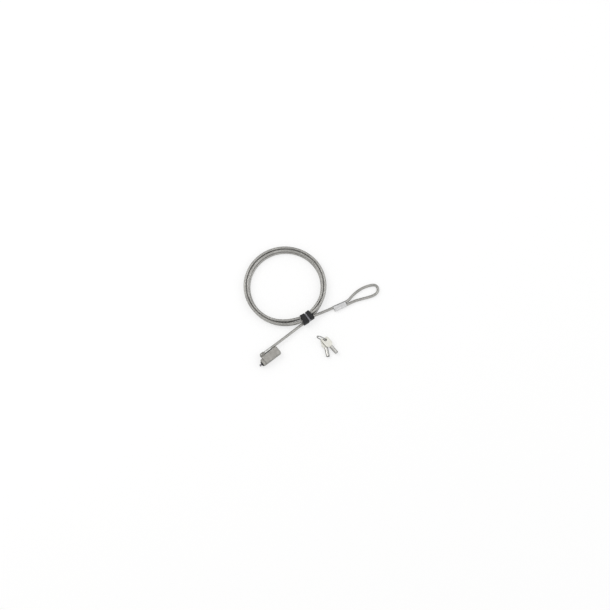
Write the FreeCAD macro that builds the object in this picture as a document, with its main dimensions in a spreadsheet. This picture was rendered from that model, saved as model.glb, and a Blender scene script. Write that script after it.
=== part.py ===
# A keyed cable lock for a laptop's security slot: lock head, swivelling cable anchor,
# coiled steel cable with a closed loop, tie strap and a pair of tubular keys on a ring.
#
# Frame, in millimetres: +X from the nose to the keyway, +Y from the lock to the cable's side,
# +Z up. The origin is the centre of the housing's underside, which lies on the table.

import FreeCAD
import Part
import Sketcher
import math
import os
from FreeCAD import Placement, Rotation, Vector

os.makedirs("parts", exist_ok=True)
doc = FreeCAD.newDocument("cable_lock")
sheet = doc.addObject("Spreadsheet::Sheet", "Sizes")

# Driving sizes
sizes = {
    # lock head
    "housing_length": 29.8,
    "housing_width": 12.9,
    "housing_height": 10.6,
    "housing_round": 1.0,
    "ear_length": 5.7,
    "ear_reach": 1.0,
    "ear_inset": 0.5,
    "ear_round": 0.45,
    "lock_offset": 2.1,
    "seat_gap": 0.02,
    "run_gap": 0.05,
    # cylinder
    "sleeve_diameter": 7.5,
    "sleeve_bore": 6.8,
    "sleeve_length": 14.2,
    "bezel_flange": 0.6,
    "bezel_depth": 1.2,
    "index_width": 1.1,
    "index_height": 0.35,
    "index_length": 1.4,
    "keyway_diameter": 6.1,
    "keyway_depth": 5.0,
    "rotor_length": 4.0,
    "post_diameter": 4.0,
    "post_inset": 0.4,
    "spindle_diameter": 3.2,
    "spindle_reach": 8.4,
    "block_length": 5.6,
    "shear_gap": 0.1,
    "pin_count": 7,
    "pin_circle": 5.06,
    "pin_diameter": 0.9,
    "pin_hole": 1.0,
    "driver_length": 2.2,
    "spring_length": 1.8,
    "spring_wire": 0.18,
    "collar_diameter": 6.4,
    "collar_length": 2.4,
    "notch_depth": 1.2,
    "stop_diameter": 1.0,
    "retainer_diameter": 1.2,
    "retainer_inset": 2.8,
    "retainer_length": 8.4,
    # locking bar and nose
    "bar_diameter": 2.4,
    "bar_tail": 2.0,
    "bar_tail_length": 4.0,
    "head_length": 6.2,
    "head_width": 2.5,
    "head_thickness": 1.5,
    "drive_pin_diameter": 0.7,
    "stop_angle": -51.4,
    "stop_seat": 1.2,
    "stop_play": 1.5,
    "lock_turn": 90.0,
    "bitting_step": 0.2,
    "nose_length": 3.7,
    "nose_width": 10.7,
    "nose_height": 9.4,
    "nose_round": 1.6,
    "spigot_diameter": 5.6,
    "spigot_length": 2.0,
    "collar_rim": 0.5,
    "pad_diameter": 7.6,
    "pad_thickness": 1.4,
    "slot_reach": 2.2,
    "guide_diameter": 1.3,
    "guide_spacing": 4.6,
    "guide_reach": 1.6,
    "guide_seat": 4.0,
    "bush_diameter": 4.2,
    "bush_length": 4.0,
    # swivelling lug
    "pivot_inset": 3.5,
    "pivot_reach": 3.7,
    "washer_thickness": 0.3,
    "washer_diameter": 5.6,
    "side_gap": 0.05,
    "anchor_post_diameter": 1.8,
    "post_seat": 3.0,
    "post_head_diameter": 2.4,
    "post_head": 0.6,
    "lug_web": 1.4,
    "lug_round": 2.6,
    "lug_nose": 2.9,
    "lug_reach": 5.0,
    "lug_outer": 2.4,
    "lug_height": 6.8,
    "fork_gap": 2.6,
    "hinge_pin_diameter": 1.4,
    # cable and its fittings
    "eye_diameter": 3.4,
    "eye_thickness": 2.2,
    "eye_length": 6.1,
    "ferrule_diameter": 4.8,
    "ferrule_length": 13.2,
    "core_diameter": 3.2,
    "core_length": 11.0,
    "cable_diameter": 4.4,
    "coil_x": 87.9,
    "coil_y": 76.65,
    "coil_radius": 60.8,
    "coil_width": 9.0,
    "coil_height": 8.9,
    "strap_angle": -94.6,
    "strap_length": 17.7,
    "strap_thickness": 1.0,
    "strap_play": 0.15,
    "strap_round": 2.6,
    "loop_ferrule_x": 136.5,
    "loop_ferrule_y": -2.35,
    "loop_ferrule_angle": -13.1,
    "loop_ferrule_length": 21.0,
    "loop_ferrule_wall": 0.6,
    "strand_spacing": 4.6,
    # keys
    "bow_width": 12.0,
    "bow_length": 16.6,
    "bow_thickness": 1.8,
    "bow_round": 3.4,
    "bow_shoulder": 3.4,
    "bow_hole": 4.8,
    "hole_inset": 3.6,
    "tang_width": 3.6,
    "tang_length": 4.5,
    "barrel_diameter": 6.0,
    "barrel_bore": 4.2,
    "barrel_length": 14.6,
    "barrel_depth": 7.0,
    "bitting_diameter": 1.0,
    "key_a_x": 83.3,
    "key_a_y": -32.85,
    "key_a_angle": -86.2,
    "key_a_lift": 6.65,
    "key_b_angle": -115.6,
    "key_b_lift": 2.7,
    "ring_diameter": 15.6,
    "ring_wire": 0.85,
    "ring_angle": 121.4,
}
for row, (name, value) in enumerate(sizes.items(), start=1):
    sheet.set(f"A{row}", name)
    sheet.set(f"B{row}", str(value))
    sheet.setAlias(f"B{row}", name)
doc.recompute()

# Names used in expressions for places that several pieces share
LOCK_Y = "-Sizes.lock_offset"
LOCK_Z = "Sizes.housing_height / 2"
REAR_X = "Sizes.housing_length / 2"
FRONT_X = "-Sizes.housing_length / 2"
SIDE_Y = "Sizes.housing_width / 2"
FLANGE_X = f"({REAR_X} - Sizes.keyway_depth)"
SHEAR_X = f"({FLANGE_X} - Sizes.rotor_length)"
BLOCK_X = f"({SHEAR_X} - Sizes.shear_gap - Sizes.block_length)"
SPINDLE_X = f"({SHEAR_X} - Sizes.spindle_reach)"
SLEEVE_END = f"({REAR_X} - Sizes.bezel_flange)"
SLEEVE_X = f"({SLEEVE_END} - Sizes.sleeve_length)"
COLLAR_X = f"({BLOCK_X} - 3 * Sizes.run_gap - Sizes.collar_length)"
RETAINER_X = f"({BLOCK_X} + Sizes.retainer_inset)"
RETAINER_Y = f"({LOCK_Y} + Sizes.sleeve_diameter / 2)"
PIVOT_X = f"({FRONT_X} + Sizes.pivot_inset)"
PIVOT_Y = f"({SIDE_Y} + Sizes.pivot_reach)"
LUG_Y = f"({SIDE_Y} + Sizes.washer_thickness + Sizes.side_gap)"
PIN_RADIUS = "Sizes.pin_circle / 2"
NOSE_X = f"({FRONT_X} - Sizes.nose_length)"
PAD_X = f"({NOSE_X} - Sizes.collar_rim)"
HEAD_X = f"({PAD_X} - Sizes.pad_thickness - Sizes.slot_reach)"

# Rods along X are turned a little about their axis, so that no cross hole meets their seam
ALONG_X = Rotation(Vector(1, 0, 0), 25) * Rotation(Vector(0, 1, 0), 90)
ALONG_Y = Rotation(Vector(1, 0, 0), -90)
ALONG_Z = Rotation()

pieces = []


def size(name):
    return sheet.get(name)


def put(thing, x, y, z, turn=ALONG_Z):
    thing.Placement = Placement(Vector(), turn)
    thing.setExpression(".Placement.Base.x", x)
    thing.setExpression(".Placement.Base.y", y)
    thing.setExpression(".Placement.Base.z", z)
    return thing


def cylinder(name, diameter, length, x, y, z, turn=ALONG_X):
    rod = doc.addObject("Part::Cylinder", name)
    rod.setExpression("Radius", f"({diameter}) / 2")
    rod.setExpression("Height", length)
    return put(rod, x, y, z, turn)


def box(name, length, width, height, x, y, z, turn=ALONG_Z):
    block = doc.addObject("Part::Box", name)
    block.setExpression("Length", length)
    block.setExpression("Width", width)
    block.setExpression("Height", height)
    return put(block, x, y, z, turn)


def fuse(name, *parts):
    whole = doc.addObject("Part::MultiFuse", name)
    whole.Shapes = list(parts)
    return whole


def cut(name, base, *tools):
    rest = doc.addObject("Part::Cut", name)
    rest.Base = base
    rest.Tool = tools[0] if len(tools) == 1 else fuse(name + "_tools", *tools)
    return rest


def group(name, parts):
    whole = doc.addObject("Part::Compound", name)
    whole.Links = parts
    return whole


def piece(thing, label):
    thing.Label = label
    pieces.append(thing)
    return thing


def plain_piece(label, shape, at=Placement()):
    thing = doc.addObject("Part::Feature", label + "_solid")
    thing.Shape = shape
    thing.Placement = at
    return piece(thing, label)


def body_box(name, length, width, height, x, y, z):
    body = doc.addObject("PartDesign::Body", name)
    block = body.newObject("PartDesign::AdditiveBox", name + "_block")
    block.setExpression("Length", length)
    block.setExpression("Width", width)
    block.setExpression("Height", height)
    put(block, x, y, z)
    doc.recompute()
    return body, block


def round_edges(body, base, radius, choose):
    rounding = body.newObject("PartDesign::Fillet", body.Name + "_rounding")
    edges = [f"Edge{k}" for k, edge in enumerate(base.Shape.Edges, start=1) if choose(edge)]
    rounding.Base = (base, edges)
    rounding.setExpression("Radius", radius)
    body.Tip = rounding
    doc.recompute()
    return rounding


def runs_along(edge, axis):
    if not isinstance(edge.Curve, Part.Line):
        return False
    return abs(edge.Curve.Direction.dot(axis)) > 0.99


def every_edge(edge):
    return True


X_AXIS = Vector(1, 0, 0)
Z_AXIS = Vector(0, 0, 1)


def pin_places():
    """Expressions for y and z of each pin, spaced evenly round the lock's axis."""
    places = []
    for k in range(int(size("pin_count"))):
        turn = f"(180 deg + {k} * 360 deg / Sizes.pin_count)"
        places.append((
            f"{LOCK_Y} + {PIN_RADIUS} * cos({turn})",
            f"{LOCK_Z} + {PIN_RADIUS} * sin({turn})",
        ))
    return places


def pin_rods(name, diameter, lengths, x):
    rods = []
    for k, (y, z) in enumerate(pin_places()):
        rods.append(cylinder(f"{name}_{k + 1}", diameter, lengths[k], x, y, z))
    return rods


def retainer_hole(name):
    diameter = "Sizes.retainer_diameter + 2 * Sizes.seat_gap"
    return cylinder(
        name, diameter, "Sizes.retainer_length + Sizes.seat_gap", RETAINER_X, RETAINER_Y, "0", ALONG_Z
    )


def guide_rods(name, diameter, length, x):
    rods = []
    for side in ("-", "+"):
        z = f"{LOCK_Z} {side} Sizes.guide_spacing / 2"
        rods.append(cylinder(f"{name}_{len(rods) + 1}", diameter, length, x, LOCK_Y, z))
    return rods


count = int(size("pin_count"))

# Housing: a die-cast block, bored from the rear for the cylinder, with an ear beside the cable
housing, block = body_box(
    "housing_block", "Sizes.housing_length", "Sizes.housing_width", "Sizes.housing_height",
    FRONT_X, f"-{SIDE_Y}", "0"
)
round_edges(housing, block, "Sizes.housing_round", every_edge)
ear, block = body_box(
    "housing_ear", "Sizes.ear_length", "Sizes.ear_reach + 1", "Sizes.housing_height - 2 * Sizes.ear_inset",
    f"{REAR_X} - Sizes.housing_round - Sizes.ear_length", f"{SIDE_Y} - 1", "Sizes.ear_inset"
)
round_edges(ear, block, "Sizes.ear_round", every_edge)
CHAMBER_X = f"({COLLAR_X} - 4 * Sizes.run_gap)"
BUSH_X = f"({FRONT_X} + Sizes.spigot_length)"
piece(
    cut(
        "housing",
        fuse("housing_solid", housing, ear),
        cylinder(
            "cylinder_bore", "Sizes.sleeve_diameter + 2 * Sizes.seat_gap",
            f"{REAR_X} - {SLEEVE_X} + 1", SLEEVE_X, LOCK_Y, LOCK_Z
        ),
        cylinder(
            "collar_chamber", "Sizes.collar_diameter + 8 * Sizes.run_gap",
            f"{SLEEVE_X} - {CHAMBER_X}", CHAMBER_X, LOCK_Y, LOCK_Z
        ),
        cylinder(
            "shaft_passage", "Sizes.bar_diameter + 4 * Sizes.run_gap",
            f"{CHAMBER_X} - {FRONT_X}", FRONT_X, LOCK_Y, LOCK_Z
        ),
        cylinder(
            "bush_bore", "Sizes.bush_diameter + 2 * Sizes.seat_gap",
            "Sizes.bush_length + Sizes.spigot_length", FRONT_X, LOCK_Y, LOCK_Z
        ),
        cylinder(
            "spigot_bore", "Sizes.spigot_diameter + 2 * Sizes.seat_gap",
            "Sizes.spigot_length", FRONT_X, LOCK_Y, LOCK_Z
        ),
        cylinder(
            "post_bore", "Sizes.anchor_post_diameter + 2 * Sizes.seat_gap",
            "Sizes.post_seat + 1", PIVOT_X, f"{SIDE_Y} - Sizes.post_seat", LOCK_Z, ALONG_Y
        ),
        retainer_hole("housing_retainer_hole"),
    ),
    "lock_housing",
)
piece(
    cylinder(
        "retainer", "Sizes.retainer_diameter", "Sizes.retainer_length",
        RETAINER_X, RETAINER_Y, "0", ALONG_Z
    ),
    "retaining_pin",
)

# Nose: the block in front of the housing, with the rubber pad and the two guide pins
nose, block = body_box(
    "nose_block", "Sizes.nose_length", "Sizes.nose_width", "Sizes.nose_height",
    NOSE_X, f"-{SIDE_Y}", f"{LOCK_Z} - Sizes.nose_height / 2"
)
round_edges(nose, block, "Sizes.nose_round", lambda edge: runs_along(edge, X_AXIS))
nose_solid = fuse(
    "nose_solid",
    nose,
    cylinder("nose_rim", "Sizes.pad_diameter", "Sizes.collar_rim + 1", PAD_X, LOCK_Y, LOCK_Z),
    cylinder("nose_spigot", "Sizes.spigot_diameter", "Sizes.spigot_length + 1",
             f"{FRONT_X} - 1", LOCK_Y, LOCK_Z),
)
piece(
    cut(
        "nose",
        nose_solid,
        cylinder("nose_passage", "Sizes.bar_diameter + 6 * Sizes.run_gap",
                 f"{BUSH_X} - {PAD_X}", PAD_X, LOCK_Y, LOCK_Z),
        *guide_rods("guide_bore", "Sizes.guide_diameter + 2 * Sizes.seat_gap",
                    "Sizes.guide_seat + Sizes.seat_gap", PAD_X),
    ),
    "nose_cap",
)
GUIDE_X = f"({PAD_X} - Sizes.pad_thickness - Sizes.guide_reach)"
piece(
    group("guides", guide_rods(
        "guide_pin", "Sizes.guide_diameter",
        "Sizes.guide_reach + Sizes.pad_thickness + Sizes.guide_seat", GUIDE_X
    )),
    "guide_pins",
)
piece(
    cut(
        "pad",
        cylinder("pad_disc", "Sizes.pad_diameter", "Sizes.pad_thickness",
                 f"{PAD_X} - Sizes.pad_thickness", LOCK_Y, LOCK_Z),
        cylinder("pad_passage", "Sizes.bar_diameter + 6 * Sizes.run_gap",
                 "Sizes.pad_thickness", f"{PAD_X} - Sizes.pad_thickness", LOCK_Y, LOCK_Z),
        *guide_rods("pad_guide_hole", "Sizes.guide_diameter + 2 * Sizes.seat_gap",
                    "Sizes.pad_thickness", f"{PAD_X} - Sizes.pad_thickness"),
    ),
    "nose_pad",
)
piece(
    cut(
        "bush",
        cylinder("bush_rod", "Sizes.bush_diameter", "Sizes.bush_length", BUSH_X, LOCK_Y, LOCK_Z),
        cylinder("bush_hole", "Sizes.bar_diameter + 2 * Sizes.run_gap",
                 "Sizes.bush_length", BUSH_X, LOCK_Y, LOCK_Z),
    ),
    "shaft_bush",
)

# Cylinder: sleeve, bezel and the fixed block that holds the drivers and their springs
piece(
    cut(
        "sleeve",
        cylinder("sleeve_rod", "Sizes.sleeve_diameter", "Sizes.sleeve_length",
                 SLEEVE_X, LOCK_Y, LOCK_Z),
        cylinder("sleeve_hole", "Sizes.sleeve_bore", "Sizes.sleeve_length",
                 SLEEVE_X, LOCK_Y, LOCK_Z),
        retainer_hole("sleeve_retainer_hole"),
    ),
    "cylinder_sleeve",
)
bezel_solid = fuse(
    "bezel_solid",
    cylinder("bezel_rim", "Sizes.sleeve_diameter", "Sizes.bezel_flange",
             SLEEVE_END, LOCK_Y, LOCK_Z),
    cylinder("bezel_skirt", "Sizes.sleeve_bore - 2 * Sizes.seat_gap",
             "Sizes.bezel_depth + Sizes.bezel_flange",
             f"{SLEEVE_END} - Sizes.bezel_depth", LOCK_Y, LOCK_Z),
)
BEZEL_X = f"({SLEEVE_END} - Sizes.bezel_depth)"
piece(
    cut(
        "bezel",
        bezel_solid,
        cylinder("keyway", "Sizes.keyway_diameter", f"{REAR_X} - {BEZEL_X}",
                 BEZEL_X, LOCK_Y, LOCK_Z),
        box("index_notch", f"{REAR_X} - {BEZEL_X}", "Sizes.index_width",
            "Sizes.keyway_diameter / 2 + Sizes.index_height",
            BEZEL_X, f"{LOCK_Y} - Sizes.index_width / 2", LOCK_Z),
    ),
    "keyway_bezel",
)
block_tools = pin_rods(
    "driver_hole", "Sizes.pin_hole",
    ["Sizes.driver_length + Sizes.spring_length + 2 * Sizes.run_gap"] * count,
    f"{BLOCK_X} + Sizes.block_length - Sizes.driver_length - Sizes.spring_length"
    " - 2 * Sizes.run_gap",
)
STOP_Y = f"{LOCK_Y} + {PIN_RADIUS} * cos(Sizes.stop_angle * 1 deg)"
STOP_Z = f"{LOCK_Z} + {PIN_RADIUS} * sin(Sizes.stop_angle * 1 deg)"
piece(
    cut(
        "block",
        cylinder("block_rod", "Sizes.sleeve_bore - 2 * Sizes.seat_gap", "Sizes.block_length",
                 BLOCK_X, LOCK_Y, LOCK_Z),
        cylinder("spindle_hole", "Sizes.spindle_diameter + 2 * Sizes.run_gap",
                 "Sizes.block_length", BLOCK_X, LOCK_Y, LOCK_Z),
        cylinder("stop_bore", "Sizes.stop_diameter + 2 * Sizes.seat_gap", "Sizes.stop_seat",
                 BLOCK_X, STOP_Y, STOP_Z),
        retainer_hole("block_retainer_hole"),
        *block_tools,
    ),
    "pin_block",
)
piece(
    group("drivers", pin_rods(
        "driver_pin", "Sizes.pin_diameter", ["Sizes.driver_length"] * count,
        f"{BLOCK_X} + Sizes.block_length - Sizes.driver_length - Sizes.run_gap"
    )),
    "driver_pins",
)


def spring_shape(length, diameter, wire):
    """A pin spring pressed nearly solid: round coils that touch, in one piece."""
    middle = (diameter - wire) / 2
    pressed = 0.92
    coils = max(3, round(length / (wire * pressed)))
    pitch = (length - wire) / (coils - 1)
    rings = [Part.makeTorus(middle, wire / 2, Vector(0, 0, wire / 2 + k * pitch)) for k in range(coils)]
    return rings[0].multiFuse(rings[1:])


spring = spring_shape(size("spring_length"), size("pin_diameter"), size("spring_wire"))
spring_x = (
    size("housing_length") / 2 - size("keyway_depth") - size("rotor_length") - size("shear_gap")
    - size("driver_length") - size("spring_length") - size("run_gap")
)
springs = []
for k in range(count):
    turn = math.radians(180 + 360 * k / count)
    turned = spring.copy()
    turned.Placement = Placement(
        Vector(
            spring_x,
            -size("lock_offset") + size("pin_circle") / 2 * math.cos(turn),
            size("housing_height") / 2 + size("pin_circle") / 2 * math.sin(turn),
        ),
        ALONG_X,
    )
    springs.append(turned)
plain_piece("pin_springs", Part.makeCompound(springs))
piece(
    cylinder("stop_rod", "Sizes.stop_diameter", "Sizes.stop_seat + Sizes.collar_length",
             f"{BLOCK_X} - Sizes.collar_length", STOP_Y, STOP_Z),
    "stop_pin",
)

# Rotor: flange with the key pins, centre post for the key and a spindle through the pin block
rotor_solid = fuse(
    "rotor_solid",
    cylinder("rotor_flange", "Sizes.sleeve_bore - 2 * Sizes.run_gap", "Sizes.rotor_length",
             SHEAR_X, LOCK_Y, LOCK_Z),
    cylinder("rotor_post", "Sizes.post_diameter", "Sizes.keyway_depth - Sizes.post_inset",
             FLANGE_X, LOCK_Y, LOCK_Z),
    cylinder("rotor_spindle", "Sizes.spindle_diameter", "Sizes.spindle_reach",
             SPINDLE_X, LOCK_Y, LOCK_Z),
)
DRIVE_X = f"({COLLAR_X} + Sizes.collar_length / 2)"


def drive_hole(name):
    return cylinder(
        name, "Sizes.drive_pin_diameter + 2 * Sizes.seat_gap", "Sizes.collar_diameter",
        DRIVE_X, LOCK_Y, f"{LOCK_Z} - Sizes.collar_diameter / 2", ALONG_Z
    )


piece(
    cut(
        "rotor_cut",
        rotor_solid,
        cylinder("bar_socket", "Sizes.bar_tail + 2 * Sizes.seat_gap",
                 "Sizes.bar_tail_length + Sizes.seat_gap", SPINDLE_X, LOCK_Y, LOCK_Z),
        drive_hole("rotor_drive_hole"),
        *pin_rods("key_pin_hole", "Sizes.pin_hole", ["Sizes.rotor_length"] * count, SHEAR_X),
    ),
    "rotor",
)
bitting = [2, 4, 3, 6, 2, 5, 3]
steps = [bitting[k % len(bitting)] for k in range(count)]
piece(
    group("key_pin_set", pin_rods(
        "key_pin", "Sizes.pin_diameter",
        [f"Sizes.rotor_length + {step} * Sizes.bitting_step" for step in steps],
        f"{SHEAR_X} + Sizes.run_gap"
    )),
    "key_pins",
)

# Locking bar: shaft with a flat head that turns across the slot
bar_head = doc.addObject("Part::MultiCommon", "bar_head")
bar_head.Shapes = [
    box("head_block", "Sizes.head_thickness", "Sizes.head_width", "Sizes.head_length",
        f"{HEAD_X} - Sizes.head_thickness", f"{LOCK_Y} - Sizes.head_width / 2",
        f"{LOCK_Z} - Sizes.head_length / 2"),
    cylinder("head_disc", "Sizes.head_length", "Sizes.head_thickness",
             f"{HEAD_X} - Sizes.head_thickness", LOCK_Y, LOCK_Z),
]
bar_solid = fuse(
    "bar_solid",
    bar_head,
    cylinder("bar_shaft", "Sizes.bar_diameter", f"{SPINDLE_X} - {HEAD_X} + 0.5 * Sizes.head_thickness",
             f"{HEAD_X} - 0.5 * Sizes.head_thickness", LOCK_Y, LOCK_Z),
    cylinder("bar_end", "Sizes.bar_tail", "Sizes.bar_tail_length + Sizes.bar_tail / 2",
             f"{SPINDLE_X} - Sizes.bar_tail / 2", LOCK_Y, LOCK_Z),
)
piece(cut("bar", bar_solid, drive_hole("bar_drive_hole")), "t_bar")

# Drive collar: pinned to spindle and bar, with the notch that the stop pin runs in
half_stop = math.degrees(math.asin(size("stop_diameter") / size("pin_circle"))) + size("stop_play")
facing = Rotation(Vector(0, 1, 0), Z_AXIS, X_AXIS, "XYZ")
notch_sector = cylinder(
    "notch_sector", "Sizes.collar_diameter + 1", "Sizes.collar_length + 2",
    f"{COLLAR_X} - 1", LOCK_Y, LOCK_Z, Rotation(X_AXIS, size("stop_angle") - half_stop) * facing
)
notch_sector.setExpression(
    "Angle",
    "(Sizes.lock_turn + 2 * Sizes.stop_play) * 1 deg + 2 * asin(Sizes.stop_diameter / Sizes.pin_circle)"
)
notch = cut(
    "notch",
    notch_sector,
    cylinder("notch_floor", "Sizes.collar_diameter - 2 * Sizes.notch_depth",
             "Sizes.collar_length + 2", f"{COLLAR_X} - 1", LOCK_Y, LOCK_Z),
)
piece(
    cut(
        "collar",
        cylinder("collar_rod", "Sizes.collar_diameter", "Sizes.collar_length",
                 COLLAR_X, LOCK_Y, LOCK_Z),
        cylinder("collar_hole", "Sizes.spindle_diameter + 2 * Sizes.seat_gap",
                 "Sizes.collar_length", COLLAR_X, LOCK_Y, LOCK_Z),
        drive_hole("collar_drive_hole"),
        notch,
    ),
    "drive_collar",
)
piece(
    cylinder("drive_rod", "Sizes.drive_pin_diameter", "Sizes.collar_diameter - 8 * Sizes.run_gap",
             DRIVE_X, LOCK_Y, f"{LOCK_Z} - Sizes.collar_diameter / 2 + 4 * Sizes.run_gap", ALONG_Z),
    "drive_pin",
)

# Swivelling lug on its post, and the fork that holds the cable's eye
WEB_Y = f"({LUG_Y} + Sizes.lug_web)"
HEAD_Y = f"({WEB_Y} - Sizes.side_gap - Sizes.post_head)"
piece(
    fuse(
        "post",
        cylinder("post_shank", "Sizes.anchor_post_diameter", f"{WEB_Y} - {SIDE_Y} + Sizes.post_seat"
                 " - Sizes.side_gap", PIVOT_X, f"{SIDE_Y} - Sizes.post_seat",
                 LOCK_Z, ALONG_Y),
        cylinder("post_cap", "Sizes.post_head_diameter", "Sizes.post_head",
                 PIVOT_X, HEAD_Y, LOCK_Z, ALONG_Y),
    ),
    "anchor_post",
)
piece(
    cut(
        "washer",
        cylinder("washer_disc", "Sizes.washer_diameter", "Sizes.washer_thickness",
                 PIVOT_X, SIDE_Y, LOCK_Z, ALONG_Y),
        cylinder("washer_hole", "Sizes.anchor_post_diameter + 2 * Sizes.seat_gap",
                 "Sizes.washer_thickness", PIVOT_X, SIDE_Y, LOCK_Z, ALONG_Y),
    ),
    "thrust_washer",
)
LUG_WIDTH = f"({PIVOT_Y} + Sizes.lug_outer - {LUG_Y})"
lug, block = body_box(
    "lug_block", "Sizes.lug_nose + Sizes.lug_reach", LUG_WIDTH, "Sizes.lug_height",
    f"{PIVOT_X} - Sizes.lug_nose", LUG_Y, f"{LOCK_Z} - Sizes.lug_height / 2"
)
pivot_x = size("pivot_inset") - size("housing_length") / 2
pivot_y = size("housing_width") / 2 + size("pivot_reach")
round_edges(
    lug, block, "Sizes.lug_round",
    lambda edge: runs_along(edge, Z_AXIS) and edge.CenterOfMass.x < pivot_x
)
piece(
    cut(
        "lug",
        lug,
        box("fork_slot", "Sizes.lug_nose + Sizes.lug_reach + 2", LUG_WIDTH, "Sizes.fork_gap",
            f"{PIVOT_X} - Sizes.lug_nose - 1", WEB_Y, f"{LOCK_Z} - Sizes.fork_gap / 2"),
        cylinder("lug_pin_hole", "Sizes.hinge_pin_diameter + 2 * Sizes.seat_gap",
                 "Sizes.lug_height", PIVOT_X, PIVOT_Y,
                 f"{LOCK_Z} - Sizes.lug_height / 2", ALONG_Z),
        cylinder("lug_post_hole", "Sizes.anchor_post_diameter + 2 * Sizes.run_gap",
                 "Sizes.lug_web", PIVOT_X, LUG_Y, LOCK_Z, ALONG_Y),
        cylinder("lug_post_recess", "Sizes.post_head_diameter + 2 * Sizes.run_gap",
                 "Sizes.post_head + 2 * Sizes.side_gap", PIVOT_X,
                 f"{HEAD_Y} - Sizes.side_gap", LOCK_Z, ALONG_Y),
    ),
    "swivel_lug",
)
piece(
    cylinder("hinge_rod", "Sizes.hinge_pin_diameter", "Sizes.lug_height",
             PIVOT_X, PIVOT_Y, f"{LOCK_Z} - Sizes.lug_height / 2", ALONG_Z),
    "hinge_pin",
)

# Cable ferrule: an eye for the hinge pin, a tongue and the sleeve crimped on the rope's end
FERRULE_X = f"({PIVOT_X} + Sizes.eye_length)"
FERRULE_END = f"({FERRULE_X} + Sizes.ferrule_length)"
EYE_Z = f"{LOCK_Z} - Sizes.eye_thickness / 2"
ferrule_solid = fuse(
    "ferrule_solid",
    cylinder("eye_disc", "Sizes.eye_diameter", "Sizes.eye_thickness",
             PIVOT_X, PIVOT_Y, EYE_Z, ALONG_Z),
    box("eye_tongue", "Sizes.eye_length + 1", "Sizes.eye_diameter", "Sizes.eye_thickness",
        PIVOT_X, f"{PIVOT_Y} - Sizes.eye_diameter / 2", EYE_Z),
    cylinder("ferrule_rod", "Sizes.ferrule_diameter", "Sizes.ferrule_length",
             FERRULE_X, PIVOT_Y, LOCK_Z),
)
piece(
    cut(
        "ferrule",
        ferrule_solid,
        cylinder("eye_hole", "Sizes.hinge_pin_diameter + 2 * Sizes.run_gap",
                 "Sizes.eye_thickness", PIVOT_X, PIVOT_Y, EYE_Z, ALONG_Z),
        cylinder("core_hole", "Sizes.core_diameter + 2 * Sizes.seat_gap", "Sizes.core_length",
                 f"{FERRULE_END} - Sizes.core_length", PIVOT_Y, LOCK_Z),
    ),
    "cable_ferrule",
)
piece(
    cylinder("core_rod", "Sizes.core_diameter", "Sizes.core_length - Sizes.seat_gap",
             f"{FERRULE_END} - Sizes.core_length + Sizes.seat_gap", PIVOT_Y, LOCK_Z),
    "rope_core",
)


# Cable stretches: straight runs joined by tangent arcs
def cord_tube(label, points):
    share = 0.45
    diameter = size("cable_diameter")
    edges = []
    start = points[0]
    for before, corner, after in zip(points, points[1:], points[2:]):
        into = (corner - before).normalize()
        out = (after - corner).normalize()
        half_turn = into.getAngle(out) / 2
        shorter = min((corner - before).Length, (after - corner).Length)
        radius = share * shorter / math.tan(half_turn)
        enter = corner - into * (share * shorter)
        leave = corner + out * (share * shorter)
        inward = (out - into).normalize()
        middle = corner + inward * (radius / math.cos(half_turn) - radius)
        edges.append(Part.LineSegment(start, enter).toShape())
        edges.append(Part.Arc(enter, middle, leave).toShape())
        start = leave
        print(f"{label}: turn {math.degrees(2 * half_turn):.1f} degrees, radius {radius:.1f} mm")
    edges.append(Part.LineSegment(start, points[-1]).toShape())
    path = Part.Wire(edges)
    circle = Part.Wire(Part.Circle(points[0], points[1] - points[0], diameter / 2).toShape())
    tube = path.makePipeShell([circle], True, False)
    expected = math.pi * diameter**2 / 4 * path.Length
    print(f"{label}: length {path.Length:.1f} mm, volume ratio {tube.Volume / expected:.5f}")
    plain_piece(label, tube)


lock_z = size("housing_height") / 2
ferrule_end = pivot_x + size("eye_length") + size("ferrule_length")
cord_tube("cable_lead", [
    Vector(ferrule_end, pivot_y, lock_z),
    Vector(25.0, pivot_y, lock_z),
    Vector(50.0, 10.45, 4.4),
    Vector(73.5, 10.8, 3.4),
    Vector(90.5, 11.0, 3.35),
])

# Loop ferrule: a double crimp sleeve, one channel for each side of the loop
ferrule_height = "(Sizes.cable_diameter + 2 * Sizes.loop_ferrule_wall)"
HALF_LENGTH = "Sizes.loop_ferrule_length / 2"
HALF_SPACING = "Sizes.strand_spacing / 2"
sleeve_rods = []
channel_rods = []
for side in ("-", ""):
    number = len(sleeve_rods) + 1
    offset = f"{side}{HALF_SPACING}"
    sleeve_rods.append(cylinder(
        f"crimp_rod_{number}", ferrule_height, "Sizes.loop_ferrule_length",
        f"-{HALF_LENGTH}", offset, "0"
    ))
    channel_rods.append(cylinder(
        f"crimp_channel_{number}", "Sizes.cable_diameter + 2 * Sizes.seat_gap",
        "Sizes.loop_ferrule_length", f"-{HALF_LENGTH}", offset, "0"
    ))
crimp_solid = fuse(
    "crimp_solid",
    *sleeve_rods,
    box("crimp_middle", "Sizes.loop_ferrule_length", "Sizes.strand_spacing", ferrule_height,
        f"-{HALF_LENGTH}", f"-{HALF_SPACING}", f"-{ferrule_height} / 2"),
)
crimp = cut("crimp", crimp_solid, *channel_rods)
piece(crimp, "loop_ferrule")
put(crimp, "Sizes.loop_ferrule_x", "Sizes.loop_ferrule_y", f"{ferrule_height} / 2",
    Rotation(Z_AXIS, size("loop_ferrule_angle")))

crimp_z = size("cable_diameter") / 2 + size("loop_ferrule_wall")
crimp_turn = Rotation(Z_AXIS, size("loop_ferrule_angle"))
crimp_centre = Vector(size("loop_ferrule_x"), size("loop_ferrule_y"), crimp_z)


def channel_point(along, side):
    local = Vector(along, side * size("strand_spacing") / 2, 0)
    return crimp_centre + crimp_turn.multVec(local)


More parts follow.
